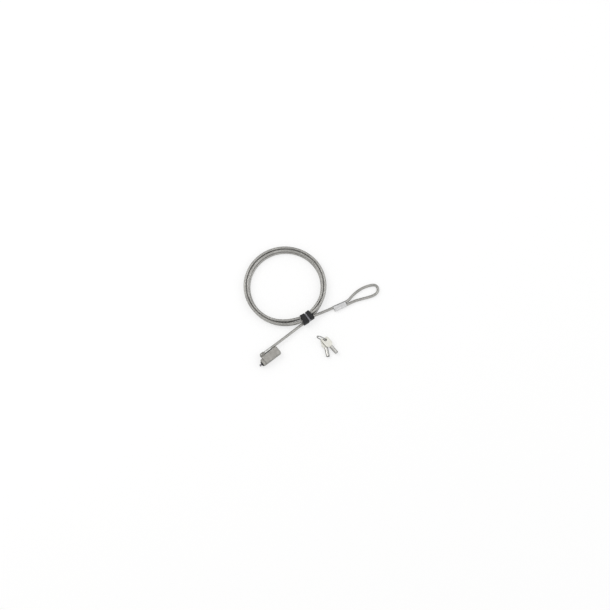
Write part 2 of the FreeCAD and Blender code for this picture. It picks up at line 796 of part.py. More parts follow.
half_crimp = size("loop_ferrule_length") / 2
floor_gap = 0.05
floor_z = size("cable_diameter") / 2 + floor_gap
crimp_exit = 4.6
crimp_lead = 15.0
cord_tube("cable_loop", [
    channel_point(-half_crimp, 1),
    channel_point(half_crimp + crimp_exit, 1),
    Vector(160.5, -1.45, 2.4),
    Vector(169.5, 0.05, floor_z),
    Vector(178.0, 0.35, floor_z),
    Vector(186.5, -0.35, floor_z),
    Vector(193.5, -2.35, floor_z),
    Vector(199.6, -4.85, floor_z),
    Vector(203.9, -9.45, floor_z),
    Vector(204.1, -15.65, floor_z),
    Vector(200.2, -20.45, floor_z),
    Vector(193.8, -21.95, floor_z),
    Vector(185.5, -20.65, floor_z),
    Vector(177.0, -17.75, floor_z),
    Vector(168.5, -14.45, floor_z),
    Vector(160.0, -10.95, 2.4),
    channel_point(half_crimp + crimp_exit, -1),
    channel_point(-half_crimp, -1),
])
cord_tube("cable_tail", [
    Vector(75.0, 13.75, 7.95),
    Vector(94.0, 9.45, 7.9),
    channel_point(-half_crimp - crimp_lead, 1),
    channel_point(-half_crimp, 1),
])


# Coil and its tie strap: the coil leans on the strap, so both share one slight tilt
def ring_sector(name, inner, outer, height, low_z, span, radius):
    body = doc.addObject("PartDesign::Body", name)
    rim = body.newObject("PartDesign::AdditiveCylinder", name + "_rim")
    rim.setExpression("Radius", outer)
    rim.setExpression("Height", height)
    rim.setExpression("Angle", span)
    rim.setExpression(".Placement.Base.z", low_z)
    hollow = body.newObject("PartDesign::SubtractiveCylinder", name + "_hollow")
    hollow.setExpression("Radius", inner)
    hollow.setExpression("Height", height)
    hollow.setExpression(".Placement.Base.z", low_z)
    doc.recompute()
    round_edges(body, hollow, radius, lambda edge: isinstance(edge.Curve, Part.Circle))
    return body


COIL_INNER = "(Sizes.coil_radius - Sizes.coil_width / 2)"
COIL_OUTER = "(Sizes.coil_radius + Sizes.coil_width / 2)"
coil = ring_sector(
    "coil", COIL_INNER, COIL_OUTER, "Sizes.coil_height", "0", "360 deg", "Sizes.cable_diameter / 2"
)
piece(coil, "cable_coil")
OPENING_INNER = f"({COIL_INNER} - Sizes.strap_play)"
OPENING_OUTER = f"({COIL_OUTER} + Sizes.cable_diameter + 2 * Sizes.strap_play)"
OPENING_HEIGHT = "(Sizes.coil_height + 2 * Sizes.strap_play)"
strap_span = "Sizes.strap_length / Sizes.coil_radius * 180 deg / pi"
band = ring_sector(
    "band", f"{OPENING_INNER} - Sizes.strap_thickness", f"{OPENING_OUTER} + Sizes.strap_thickness",
    f"{OPENING_HEIGHT} + 2 * Sizes.strap_thickness", "-Sizes.strap_play - Sizes.strap_thickness",
    strap_span, "Sizes.strap_round"
)
opening = ring_sector(
    "band_opening", OPENING_INNER, OPENING_OUTER, OPENING_HEIGHT, "-Sizes.strap_play",
    strap_span, "Sizes.strap_round - Sizes.strap_thickness"
)
strap = cut("strap", band, opening)
piece(strap, "tie_strap")

strap_angle = math.radians(size("strap_angle"))
strap_drop = size("strap_thickness") + size("strap_play")
coil_outer = size("coil_radius") + size("coil_width") / 2
strap_inner = size("coil_radius") - size("coil_width") / 2 - strap_drop
tilt = math.asin(strap_drop / (coil_outer + strap_inner))
tilt_axis = Vector(math.sin(strap_angle), -math.cos(strap_angle), 0)
lean = Rotation(tilt_axis, math.degrees(tilt))
coil_base = Vector(size("coil_x"), size("coil_y"), coil_outer * math.sin(tilt))
span = math.degrees(size("strap_length") / size("coil_radius"))
coil.Placement = Placement(coil_base, lean)
strap.Placement = Placement(coil_base, lean * Rotation(Z_AXIS, size("strap_angle") - span / 2))


# Keys: a flat bow pressed into a tubular barrel with its bitting cut in the rim
def polygon(sketch, corners):
    for k in range(len(corners)):
        angle = 2 * math.pi * k / len(corners)
        following = 2 * math.pi * (k + 1) / len(corners)
        sketch.addGeometry(Part.LineSegment(
            Vector(math.cos(angle), math.sin(angle), 0),
            Vector(math.cos(following), math.sin(following), 0),
        ), False)
    for k in range(len(corners)):
        after = (k + 1) % len(corners)
        sketch.addConstraint(Sketcher.Constraint("Coincident", k, 2, after, 1))
    for k, (x, y) in enumerate(corners):
        for kind, expression in (("DistanceX", x), ("DistanceY", y)):
            number = sketch.addConstraint(Sketcher.Constraint(kind, -1, 1, k, 1, 1.0))
            sketch.setExpression(f"Constraints[{number}]", expression)


def make_key(name, at):
    neck = "(Sizes.bow_length - Sizes.hole_inset)"
    half_width = "Sizes.bow_width / 2"
    half_neck = "Sizes.barrel_diameter / 2"
    bow = doc.addObject("PartDesign::Body", name + "_plate")
    outline = bow.newObject("Sketcher::SketchObject", name + "_outline")
    plane = next(f for f in bow.Origin.OriginFeatures if f.Role == "XY_Plane")
    outline.AttachmentSupport = [(plane, "")]
    outline.MapMode = "FlatFace"
    outline.setExpression(".AttachmentOffset.Base.z", "-Sizes.bow_thickness / 2")
    polygon(outline, [
        ("-Sizes.hole_inset", half_width),
        ("-Sizes.hole_inset", f"-{half_width}"),
        (f"{neck} - Sizes.bow_shoulder", f"-{half_width}"),
        (neck, f"-{half_neck}"),
        (neck, half_neck),
        (f"{neck} - Sizes.bow_shoulder", half_width),
    ])
    pad = bow.newObject("PartDesign::Pad", name + "_pad")
    pad.Profile = outline
    pad.setExpression("Length", "Sizes.bow_thickness")
    doc.recompute()
    back = -size("hole_inset")
    round_edges(
        bow, pad, "Sizes.bow_round",
        lambda edge: runs_along(edge, Z_AXIS) and abs(edge.CenterOfMass.x - back) < 0.01
    )
    tang = bow.newObject("PartDesign::AdditiveBox", name + "_tang")
    tang.setExpression("Length", "Sizes.tang_length + 1")
    tang.setExpression("Width", "Sizes.tang_width")
    tang.setExpression("Height", "Sizes.bow_thickness")
    put(tang, f"{neck} - 1", "-Sizes.tang_width / 2", "-Sizes.bow_thickness / 2")
    hole = bow.newObject("PartDesign::SubtractiveCylinder", name + "_hole")
    hole.setExpression("Radius", "Sizes.bow_hole / 2")
    hole.setExpression("Height", "Sizes.bow_thickness + 2")
    hole.setExpression(".Placement.Base.z", "-Sizes.bow_thickness / 2 - 1")
    bow.Tip = hole
    piece(bow, name + "_bow")
    bow.Placement = at

    tip = f"({neck} + Sizes.barrel_length)"
    tube = fuse(
        name + "_tube",
        cylinder(name + "_rod", "Sizes.barrel_diameter", "Sizes.barrel_length", neck, "0", "0"),
        box(name + "_nib", "Sizes.index_length", "Sizes.index_width - 4 * Sizes.run_gap",
            "Sizes.barrel_diameter / 2 + Sizes.index_height - Sizes.run_gap",
            f"{tip} - 1.5 * Sizes.index_length", "-Sizes.index_width / 2 + 2 * Sizes.run_gap", "0"),
    )
    cuts = [
        cylinder(name + "_bore", "Sizes.barrel_bore", "Sizes.barrel_depth",
                 f"{tip} - Sizes.barrel_depth", "0", "0"),
        box(name + "_slot", "Sizes.tang_length + Sizes.seat_gap",
            "Sizes.tang_width + 2 * Sizes.seat_gap", "Sizes.bow_thickness + 2 * Sizes.seat_gap",
            neck, "-Sizes.tang_width / 2 - Sizes.seat_gap",
            "-Sizes.bow_thickness / 2 - Sizes.seat_gap"),
    ]
    for k, step in enumerate(steps):
        turn = f"(180 deg + {k} * 360 deg / Sizes.pin_count)"
        depth = f"{step} * Sizes.bitting_step"
        cuts.append(cylinder(
            f"{name}_bitting_{k + 1}", "Sizes.bitting_diameter", f"{depth} + 1",
            f"{tip} - {depth}", f"{PIN_RADIUS} * cos({turn})", f"{PIN_RADIUS} * sin({turn})"
        ))
    barrel = cut(name + "_barrel_solid", tube, *cuts)
    piece(barrel, name + "_barrel")
    barrel.Placement = at


# The ring stands on edge and passes up through both bows, the second key's first
ring_middle = (size("ring_diameter") - size("ring_wire")) / 2
ring_height = size("ring_diameter") / 2
ring_turn = math.radians(size("ring_angle"))
ring_way = Vector(math.cos(ring_turn), math.sin(ring_turn), 0)


def ring_reach(height):
    """How far from its centre the ring's wire crosses a height, on the keys' side."""
    return math.sqrt(ring_middle**2 - (height - ring_height) ** 2)


hole_a = Vector(size("key_a_x"), size("key_a_y"), size("key_a_lift"))
reach_a = ring_reach(size("key_a_lift"))
reach_b = ring_reach(size("key_b_lift"))
ring_centre = Vector(hole_a.x, hole_a.y, ring_height) + ring_way * reach_a
hole_b = ring_centre - ring_way * reach_b
hole_b.z = size("key_b_lift")
neck_reach = size("bow_length") - size("hole_inset")
barrel_radius = size("barrel_diameter") / 2
drop_a = math.asin((hole_a.z - barrel_radius) / (neck_reach + size("barrel_length")))
rise_b = math.asin((barrel_radius - hole_b.z) / neck_reach)
turn_a = Rotation(Z_AXIS, size("key_a_angle")) * Rotation(Vector(0, 1, 0), math.degrees(drop_a))
turn_b = Rotation(Z_AXIS, size("key_b_angle")) * Rotation(Vector(0, 1, 0), -math.degrees(rise_b))
make_key("key_a", Placement(hole_a, turn_a))
make_key("key_b", Placement(hole_b, turn_b))
print(f"second key's hole: {hole_b.x:.4f}, {hole_b.y:.4f}, {hole_b.z:.4f}")


def split_ring_shape(middle, wire):
    """Two turns of wire side by side, joined by one slanted stretch."""
    gap = 0.04
    side = wire / 2 + gap / 2
    slant = 22.0
    end = 9.0

    def point(angle, height):
        way = math.radians(angle)
        return Vector(middle * math.cos(way), middle * math.sin(way), height)

    def tube(first, through, last):
        path = Part.Wire(Part.Arc(first, through, last).toShape())
        tangent = path.Edges[0].tangentAt(path.Edges[0].FirstParameter)
        circle = Part.Wire(Part.Circle(first, tangent, wire / 2).toShape())
        return path.makePipeShell([circle], True, False)

    solids = [
        tube(point(slant, side), point(190, side), point(360 - end, side)),
        tube(point(end, -side), point(170, -side), point(360 - slant, -side)),
        tube(point(-slant, -side), point(0, 0), point(slant, side)),
        Part.makeSphere(wire / 2, point(slant, side)),
        Part.makeSphere(wire / 2, point(-slant, -side)),
    ]
    return solids[0].multiFuse(solids[1:])


ring_facing = Rotation(ring_way, Z_AXIS, ring_way.cross(Z_AXIS), "XYZ")
plain_piece(
    "split_ring",
    split_ring_shape(ring_middle, size("ring_wire")),
    Placement(ring_centre, ring_facing),
)

# Everything must have built before any file is written
doc.recompute()
for thing in doc.Objects:
    if "Invalid" in thing.State or "Error" in thing.State:
        raise RuntimeError(f"{thing.Name} did not build: {thing.State}")
for thing in pieces:
    shape = thing.Shape
    if shape.isNull() or not shape.isValid():
        raise RuntimeError(f"{thing.Label} has no valid shape")
for thing in pieces:
    thing.Shape.exportStep(f"parts/{thing.Label}.step")
    print(f"{thing.Label}: {len(thing.Shape.Solids)} solid, {thing.Shape.Volume:.1f} mm3")
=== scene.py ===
# A keyed cable lock lying on a pale table: lock head, coiled steel cable, tie strap and keys
import bpy
import math
from mathutils import Matrix, Vector, noise


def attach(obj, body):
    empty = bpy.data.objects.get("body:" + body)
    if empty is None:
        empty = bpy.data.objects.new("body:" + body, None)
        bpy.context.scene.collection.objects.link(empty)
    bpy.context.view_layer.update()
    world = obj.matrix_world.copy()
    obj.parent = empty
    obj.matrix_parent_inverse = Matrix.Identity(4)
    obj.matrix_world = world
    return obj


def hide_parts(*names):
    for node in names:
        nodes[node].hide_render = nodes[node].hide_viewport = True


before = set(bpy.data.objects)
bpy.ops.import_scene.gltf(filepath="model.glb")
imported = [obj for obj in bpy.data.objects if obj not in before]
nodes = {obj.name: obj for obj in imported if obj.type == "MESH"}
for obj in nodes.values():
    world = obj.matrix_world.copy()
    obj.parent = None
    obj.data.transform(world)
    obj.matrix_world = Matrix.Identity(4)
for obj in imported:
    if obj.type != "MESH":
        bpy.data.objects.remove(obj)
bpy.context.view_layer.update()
mm = 0.001
print("frame loaded,", len(nodes), "nodes")


# Camera: nearly overhead, as far off as a product shot of a small thing on a table
cameraSetup = {
    "azimuth": -38.0,
    "elevation": 73.5,
    "aim": (0.0946, 0.03425, 0.0),
    "distance": 3.0,
    "viewWidth": 0.976,
    "sensor": 36.0,
}


def placeCamera(setup):
    turn = math.radians(setup["azimuth"])
    rise = math.radians(setup["elevation"])
    back = Vector((math.sin(turn) * math.cos(rise), -math.cos(turn) * math.cos(rise), math.sin(rise)))
    lens = bpy.data.cameras.new("tableCamera")
    lens.sensor_width = setup["sensor"]
    lens.lens = setup["sensor"] * setup["distance"] / setup["viewWidth"]
    camera = bpy.data.objects.new("tableCamera", lens)
    bpy.context.scene.collection.objects.link(camera)
    camera.location = Vector(setup["aim"]) + back * setup["distance"]
    camera.rotation_mode = "QUATERNION"
    camera.rotation_quaternion = (-back).to_track_quat("-Z", "Y")
    bpy.context.scene.camera = camera


placeCamera(cameraSetup)


# Small helpers for nodes. A value may be another node's output, a colour or a number.
def feed(tree, socket, value):
    if isinstance(value, bpy.types.NodeSocket):
        tree.links.new(value, socket)
    elif isinstance(value, tuple):
        socket.default_value = (*value, 1.0)
    else:
        socket.default_value = value


def addNode(tree, kind, **settings):
    node = tree.nodes.new(kind)
    for name, value in settings.items():
        setattr(node, name, value)
    return node


def mathNode(tree, operation, first, second=None):
    node = addNode(tree, "ShaderNodeMath", operation=operation)
    feed(tree, node.inputs[0], first)
    if second is not None:
        feed(tree, node.inputs[1], second)
    return node.outputs[0]


def rampNode(tree, value, low, high, start=0.0, end=1.0):
    node = addNode(tree, "ShaderNodeMapRange")
    given = {"Value": value, "From Min": low, "From Max": high, "To Min": start, "To Max": end}
    for label, item in given.items():
        feed(tree, node.inputs[label], item)
    return node.outputs["Result"]


def mixColours(tree, factor, first, second):
    node = addNode(tree, "ShaderNodeMix", data_type="RGBA")
    for place, item in ((0, factor), (6, first), (7, second)):
        feed(tree, node.inputs[place], item)
    return node.outputs[2]


def mixShaders(tree, factor, first, second):
    node = addNode(tree, "ShaderNodeMixShader")
    tree.links.new(factor, node.inputs[0])
    tree.links.new(first.outputs[0], node.inputs[1])
    tree.links.new(second.outputs[0], node.inputs[2])
    return node


# A row of rounded ridges, one for each whole step of the value
def ridgeNode(tree, value):
    wave = mathNode(tree, "SINE", mathNode(tree, "MULTIPLY", value, math.pi))
    return mathNode(tree, "ABSOLUTE", wave)


def newGroup(name, inputs, outputs):
    tree = bpy.data.node_groups.new(name, "ShaderNodeTree")
    for label, kind, value in inputs:
        socket = tree.interface.new_socket(label, in_out="INPUT", socket_type=kind)
        socket.default_value = value
    for label, kind in outputs:
        tree.interface.new_socket(label, in_out="OUTPUT", socket_type=kind)
    return tree, tree.nodes.new("NodeGroupInput"), tree.nodes.new("NodeGroupOutput")


def useGroup(tree, group, **values):
    node = addNode(tree, "ShaderNodeGroup", node_tree=group)
    for name, value in values.items():
        node.inputs[name].default_value = value
    return node


floatSocket = "NodeSocketFloat"
vectorSocket = "NodeSocketVector"
bevelSamples = 6
noiseSpan = (0.3, 0.7)  # where most of a noise texture's values lie


# Edge mask: where an edge has been rubbed, broken up by a coarse noise. It carries dust on rubber,
# lighter wear on some metals and painted dark edge shade on others
edgeMaskShape = {
    "rubbed": (0.01, 0.2),
    "patches": (0.35, 0.6),
    "faintest": 0.25,
}


def makeEdgeWearAndShade(setup):
    tree, source, result = newGroup(
        "edgeWearAndShade",
        [("Radius", floatSocket, 0.0004), ("Break Up", floatSocket, 400.0)],
        [("Mask", floatSocket)],
    )
    bevel = addNode(tree, "ShaderNodeBevel", samples=bevelSamples)
    tree.links.new(source.outputs["Radius"], bevel.inputs["Radius"])
    geometry = tree.nodes.new("ShaderNodeNewGeometry")
    facing = addNode(tree, "ShaderNodeVectorMath", operation="DOT_PRODUCT")
    tree.links.new(bevel.outputs["Normal"], facing.inputs[0])
    tree.links.new(geometry.outputs["Normal"], facing.inputs[1])
    turned = mathNode(tree, "SUBTRACT", 1.0, facing.outputs["Value"])
    place = tree.nodes.new("ShaderNodeTexCoord")
    patches = addNode(tree, "ShaderNodeTexNoise")
    patches.inputs["Detail"].default_value = 3.0
    tree.links.new(place.outputs["Object"], patches.inputs["Vector"])
    tree.links.new(source.outputs["Break Up"], patches.inputs["Scale"])
    rubbed = rampNode(tree, turned, *setup["rubbed"])
    broken = rampNode(tree, patches.outputs["Fac"], *setup["patches"], setup["faintest"])
    tree.links.new(mathNode(tree, "MULTIPLY", rubbed, broken), result.inputs["Mask"])
    return tree


# Grain: a fine tooth for bump and a broad tone that drifts over the surface
def makeGrain():
    tree, source, result = newGroup(
        "surfaceGrain",
        [("Fine Scale", floatSocket, 6000.0), ("Broad Scale", floatSocket, 120.0)],
        [("Fine", floatSocket), ("Broad", floatSocket)],
    )
    place = tree.nodes.new("ShaderNodeTexCoord")
    for label, detail in (("Fine", 4.0), ("Broad", 5.0)):
        texture = addNode(tree, "ShaderNodeTexNoise")
        texture.inputs["Detail"].default_value = detail
        tree.links.new(place.outputs["Object"], texture.inputs["Vector"])
        tree.links.new(source.outputs[label + " Scale"], texture.inputs["Scale"])
        tree.links.new(texture.outputs["Fac"], result.inputs[label])
    return tree


# Brushed lines: noise drawn out along one direction, turned about the vertical by Angle
def makeBrushedLines():
    tree, source, result = newGroup(
        "brushedLines",
        [("Angle", floatSocket, 0.0), ("Stretch", vectorSocket, (1.0, 30.0, 30.0)),
         ("Scale", floatSocket, 250.0)],
        [("Lines", floatSocket)],
    )
    place = tree.nodes.new("ShaderNodeTexCoord")
    turn = addNode(tree, "ShaderNodeVectorRotate", rotation_type="Z_AXIS")
    tree.links.new(place.outputs["Object"], turn.inputs["Vector"])
    tree.links.new(source.outputs["Angle"], turn.inputs["Angle"])
    stretched = addNode(tree, "ShaderNodeVectorMath", operation="MULTIPLY")
    tree.links.new(turn.outputs["Vector"], stretched.inputs[0])
    tree.links.new(source.outputs["Stretch"], stretched.inputs[1])
    texture = addNode(tree, "ShaderNodeTexNoise")
    texture.inputs["Detail"].default_value = 6.0
    texture.inputs["Roughness"].default_value = 0.65
    tree.links.new(stretched.outputs["Vector"], texture.inputs["Vector"])
    tree.links.new(source.outputs["Scale"], texture.inputs["Scale"])
    tree.links.new(texture.outputs["Fac"], result.inputs["Lines"])
    return tree


# Crevices: painted shade, a near-black colour laid where neighbouring faces stand close and ambient
# occlusion finds little open room
creviceShadeTone = {
    "colour": (0.012, 0.012, 0.011),
    "share": 0.95,
    "distance": 0.003,
    "open": 0.75,
    "closed": 0.15,
    "samples": 8,
}


def makeCreviceShade(setup):
    tree, source, result = newGroup(
        "creviceShade",
        [("Distance", floatSocket, setup["distance"]), ("Open", floatSocket, setup["open"])],
        [("Mask", floatSocket)],
    )
    occlusion = addNode(tree, "ShaderNodeAmbientOcclusion", samples=setup["samples"])
    tree.links.new(source.outputs["Distance"], occlusion.inputs["Distance"])
    shut = rampNode(tree, occlusion.outputs["AO"], setup["closed"], source.outputs["Open"], 1.0, 0.0)
    tree.links.new(shut, result.inputs["Mask"])
    return tree


edgeWearAndShade = makeEdgeWearAndShade(edgeMaskShape)
surfaceGrain = makeGrain()
creviceShade = makeCreviceShade(creviceShadeTone)
brushedLines = makeBrushedLines()


def useGrain(tree, fine, broad):
    return useGroup(tree, surfaceGrain, **{"Fine Scale": fine, "Broad Scale": broad})


def newMaterial(name):
    material = bpy.data.materials.new(name)
    material.use_nodes = True
    tree = material.node_tree
    return material, tree, tree.nodes["Principled BSDF"]


def addBump(tree, shader, height, distance, normal=None):
    bump = addNode(tree, "ShaderNodeBump")
    bump.inputs["Strength"].default_value = 1.0
    bump.inputs["Distance"].default_value = distance
    tree.links.new(height, bump.inputs["Height"])
    if normal is not None:
        tree.links.new(normal, bump.inputs["Normal"])
    tree.links.new(bump.outputs["Normal"], shader.inputs["Normal"])


# Metals share one recipe: base colour with a drifting tone, brushed or cast grain, an edge colour
# and painted shade in crevices. The edge colour is lighter wear on most, and painted dark edge shade on
# the bright nickels, the crimp and the keys
metalFinishes = {
    "satinNickel": {
        "colour": (0.52, 0.508, 0.48), "dark": (0.27, 0.262, 0.245), "wornAndShadedEdge": (0.44, 0.43, 0.41),
        "roughness": (0.34, 0.48), "tooth": 5200.0, "toothDepth": 0.000012, "broad": 170.0,
        "lines": 0.25, "stretch": (1.0, 26.0, 26.0), "angle": 0.0, "edge": 0.00045,
    },
    # a darker copy of the satin nickel: painted shade on the swivel lug beside the cable ferrule
    "shadedLugNickel": {
        "colour": (0.30, 0.292, 0.275), "dark": (0.20, 0.195, 0.18), "wornAndShadedEdge": (0.36, 0.355, 0.34),
        "roughness": (0.34, 0.48), "tooth": 5200.0, "toothDepth": 0.000012, "broad": 260.0,
        "lines": 0.25, "stretch": (1.0, 26.0, 26.0), "angle": 0.0, "edge": 0.00045,
    },
    # edge colour darker than the body: painted dark edge shade
    "brightNickel": {
        "colour": (0.84, 0.84, 0.82), "dark": (0.54, 0.54, 0.525), "wornAndShadedEdge": (0.42, 0.42, 0.41),
        "roughness": (0.12, 0.24), "tooth": 7000.0, "toothDepth": 0.000004, "broad": 300.0,
        "lines": 0.8, "stretch": (30.0, 1.0, 1.0), "angle": 0.0, "edge": 0.00025,
    },
    # edge colour darker than the body: painted dark edge shade
    "crimpAluminium": {
        "colour": (0.86, 0.86, 0.86), "dark": (0.46, 0.46, 0.465), "wornAndShadedEdge": (0.20, 0.20, 0.205),
        "roughness": (0.16, 0.3), "tooth": 5000.0, "toothDepth": 0.000008, "broad": 260.0,
        "lines": 0.9, "stretch": (1.0, 24.0, 24.0), "angle": 0.2286, "edge": 0.0005,
    },
    # edge colour darker than the body: painted dark edge shade
    "keyNickel": {
        "colour": (0.88, 0.87, 0.81), "dark": (0.68, 0.67, 0.61), "wornAndShadedEdge": (0.34, 0.33, 0.30),
        "roughness": (0.12, 0.22), "tooth": 6000.0, "toothDepth": 0.000006, "broad": 260.0,
        "lines": 0.8, "stretch": (1.0, 28.0, 28.0), "angle": 1.504, "edge": 0.0005,
        "creviceShade": 0.004,
    },
    # edge colour darker than the body: painted dark edge shade
    "barrelNickel": {
        "colour": (0.70, 0.695, 0.665), "dark": (0.36, 0.355, 0.345), "wornAndShadedEdge": (0.26, 0.255, 0.25),
        "roughness": (0.12, 0.24), "tooth": 6000.0, "toothDepth": 0.000006, "broad": 600.0,
        "lines": 1.3, "stretch": (1.0, 28.0, 28.0), "angle": 1.504, "edge": 0.0007,
        "creviceShade": 0.004,
    },
    "ringSteel": {
        "colour": (0.50, 0.50, 0.49), "dark": (0.36, 0.36, 0.355), "wornAndShadedEdge": (0.62, 0.62, 0.61),
        "roughness": (0.1, 0.2), "tooth": 8000.0, "toothDepth": 0.000003, "broad": 500.0,
        "lines": 0.4, "stretch": (1.0, 1.0, 12.0), "angle": 0.0, "edge": 0.0002,
    },
    "hardSteel": {
        "colour": (0.22, 0.21, 0.235), "dark": (0.13, 0.125, 0.145), "wornAndShadedEdge": (0.4, 0.39, 0.41),
        "roughness": (0.26, 0.42), "tooth": 6000.0, "toothDepth": 0.000006, "broad": 500.0,
        "lines": 0.5, "stretch": (20.0, 1.0, 1.0), "angle": 0.0, "edge": 0.0003,
    },
    "turnedBrass": {
        "colour": (0.68, 0.50, 0.24), "dark": (0.46, 0.32, 0.14), "wornAndShadedEdge": (0.84, 0.68, 0.40),
        "roughness": (0.22, 0.36), "tooth": 6000.0, "toothDepth": 0.000006, "broad": 420.0,
        "lines": 0.7, "stretch": (26.0, 1.0, 1.0), "angle": 0.0, "edge": 0.0002,
    },
    "bezelSteel": {
        "colour": (0.62, 0.615, 0.60), "dark": (0.45, 0.445, 0.43), "wornAndShadedEdge": (0.84, 0.84, 0.83),
        "roughness": (0.2, 0.32), "tooth": 6000.0, "toothDepth": 0.000005, "broad": 420.0,
        "lines": 0.6, "stretch": (30.0, 1.0, 1.0), "angle": 0.0, "edge": 0.0002,
    },
}
metalRecipe = {
    "edgeShine": 0.35,  # how much smoother a rubbed edge is
    "softEdge": 0.6,  # radius of the soft edge, as a share of the worn one's
    "lineHeight": 0.6,
}


def makeMetal(name, finish):
    material, tree, shader = newMaterial(name)
    grain = useGrain(tree, finish["tooth"], finish["broad"])
    lines = useGroup(tree, brushedLines, Stretch=finish["stretch"], Angle=finish["angle"])
    edgeMask = useGroup(tree, edgeWearAndShade, Radius=finish["edge"])
    brushed = rampNode(tree, lines.outputs["Lines"], *noiseSpan)
    streak = mathNode(tree, "MULTIPLY", brushed, finish["lines"])
    drift = rampNode(tree, grain.outputs["Broad"], *noiseSpan)
    tone = mathNode(tree, "MULTIPLY", mathNode(tree, "ADD", streak, drift), 0.5)
    body = mixColours(tree, tone, finish["dark"], finish["colour"])
    # edge colour over the edge mask: lighter wear on some finishes, painted dark edge shade on others
    wornAndShadedEdge = mixColours(tree, edgeMask.outputs["Mask"], body, finish["wornAndShadedEdge"])
    # painted shade: near-black laid into the crevices that ambient occlusion finds
    creviceShadeMask = useGroup(tree, creviceShade, Distance=finish.get("creviceShade", creviceShadeTone["distance"]))
    creviceShadeShare = mathNode(tree, "MULTIPLY", creviceShadeMask.outputs["Mask"], creviceShadeTone["share"])
    tree.links.new(mixColours(tree, creviceShadeShare, wornAndShadedEdge, creviceShadeTone["colour"]), shader.inputs["Base Color"])
    smooth, rough = finish["roughness"]
    matted = rampNode(tree, tone, 0.0, 1.0, rough, smooth)
    polished = mathNode(tree, "MULTIPLY", edgeMask.outputs["Mask"], metalRecipe["edgeShine"])
    shine = mathNode(tree, "MULTIPLY", matted, mathNode(tree, "SUBTRACT", 1.0, polished))
    tree.links.new(shine, shader.inputs["Roughness"])
    shader.inputs["Metallic"].default_value = 1.0
    rounding = addNode(tree, "ShaderNodeBevel", samples=bevelSamples)
    rounding.inputs["Radius"].default_value = finish["edge"] * metalRecipe["softEdge"]
    ridges = mathNode(tree, "MULTIPLY", streak, metalRecipe["lineHeight"])
    height = mathNode(tree, "ADD", grain.outputs["Fine"], ridges)
    addBump(tree, shader, height, finish["toothDepth"], rounding.outputs["Normal"])
    return material


metals = {name: makeMetal(name, finish) for name, finish in metalFinishes.items()}


# Moulded rubber: near black, dull, with a fine skin and a dusting on the raised edges
rubberFinish = {
    "black": (0.006, 0.006, 0.006),
    "grey": (0.012, 0.012, 0.012),
    "dust": (0.04, 0.04, 0.04),
    "dusted": 0.5,
    "roughness": (0.55, 0.8),
    "edge": 0.0003,
    "skin": 3800.0,
    "broad": 500.0,
    "skinDepth": 0.00003,
}


def makeRubber(name, finish):
    material, tree, shader = newMaterial(name)
    grain = useGrain(tree, finish["skin"], finish["broad"])
    edgeMask = useGroup(tree, edgeWearAndShade, Radius=finish["edge"])
    tone = rampNode(tree, grain.outputs["Broad"], *noiseSpan)
    body = mixColours(tree, tone, finish["black"], finish["grey"])
    dusted = mathNode(tree, "MULTIPLY", edgeMask.outputs["Mask"], finish["dusted"])
    tree.links.new(mixColours(tree, dusted, body, finish["dust"]), shader.inputs["Base Color"])
    dull = rampNode(tree, grain.outputs["Fine"], *noiseSpan, *finish["roughness"])
    tree.links.new(dull, shader.inputs["Roughness"])
    addBump(tree, shader, grain.outputs["Fine"], finish["skinDepth"])
    return material


blackRubber = makeRubber("blackRubber", rubberFinish)


# Cable: steel strands laid in a twist, seen through a smooth clear jacket. The UV map gives
# the way round the cable and the distance along it in metres.
cable = {
    "diameter": 4.4 * mm,
    "strands": 6,
    "lay": 30.0 * mm,
    "wires": 5,
    "lobe": 0.035,
    "crown": 0.8,
    "ringStep": 1.25 * mm,
    "fineness": 8,
    "sides": 30,
}
strandShape = {
    "wireTurns": 14.0,  # how far the wires wind back against the strands in one lay
    "strandRound": 0.6,
    "wireRound": 0.7,
    "wireHeight": 0.28,
    "strandGroove": 0.5,
    "wireGroove": 0.45,
    "wireDepth": 0.45,
}


def makeStrandPattern(setup):
    tree, source, result = newGroup(
        "strandPattern",
        [("Strands", floatSocket, 6.0), ("Lay", floatSocket, 0.03), ("Wires", floatSocket, 5.0)],
        [("Height", floatSocket), ("Groove", floatSocket)],
    )
    uvMap = addNode(tree, "ShaderNodeUVMap")
    split = addNode(tree, "ShaderNodeSeparateXYZ")
    tree.links.new(uvMap.outputs["UV"], split.inputs["Vector"])
    around, along = split.outputs["X"], split.outputs["Y"]
    twist = mathNode(tree, "DIVIDE", along, source.outputs["Lay"])
    untwisted = mathNode(tree, "SUBTRACT", around, twist)
    strandPlace = mathNode(tree, "MULTIPLY", untwisted, source.outputs["Strands"])
    strandWave = ridgeNode(tree, strandPlace)
    wound = mathNode(tree, "ADD", strandPlace, mathNode(tree, "MULTIPLY", twist, setup["wireTurns"]))
    wireWave = ridgeNode(tree, mathNode(tree, "MULTIPLY", wound, source.outputs["Wires"]))
    strandHeight = mathNode(tree, "POWER", strandWave, setup["strandRound"])
    wireRidge = mathNode(tree, "POWER", wireWave, setup["wireRound"])
    wireHeight = mathNode(tree, "MULTIPLY", wireRidge, setup["wireHeight"])
    tree.links.new(mathNode(tree, "ADD", strandHeight, wireHeight), result.inputs["Height"])
    deep = rampNode(tree, strandWave, 0.0, setup["strandGroove"], 1.0, 0.0)
    fine = rampNode(tree, wireWave, 0.0, setup["wireGroove"], setup["wireDepth"], 0.0)
    tree.links.new(mathNode(tree, "MAXIMUM", deep, fine), result.inputs["Groove"])
    return tree


strandPattern = makeStrandPattern(strandShape)
cableFinish = {
    "steel": (0.51, 0.502, 0.478),
    "shade": (0.36, 0.354, 0.335),
    "groove": (0.11, 0.107, 0.10),
    "strandDepth": 0.00022,
    "skin": 3000.0,
    "broad": 60.0,
    "roughness": (0.34, 0.46),
    "metallic": 0.75,
    "coat": {"Weight": 0.8, "Roughness": 0.15, "IOR": 1.5},
    # painted shade in the cable's crevices: how far ambient occlusion looks, and how much near-black it
    # lays in
    "creviceShade": {"Distance": 0.002, "Open": 0.6},
    "creviceShadeShare": 0.7,
}


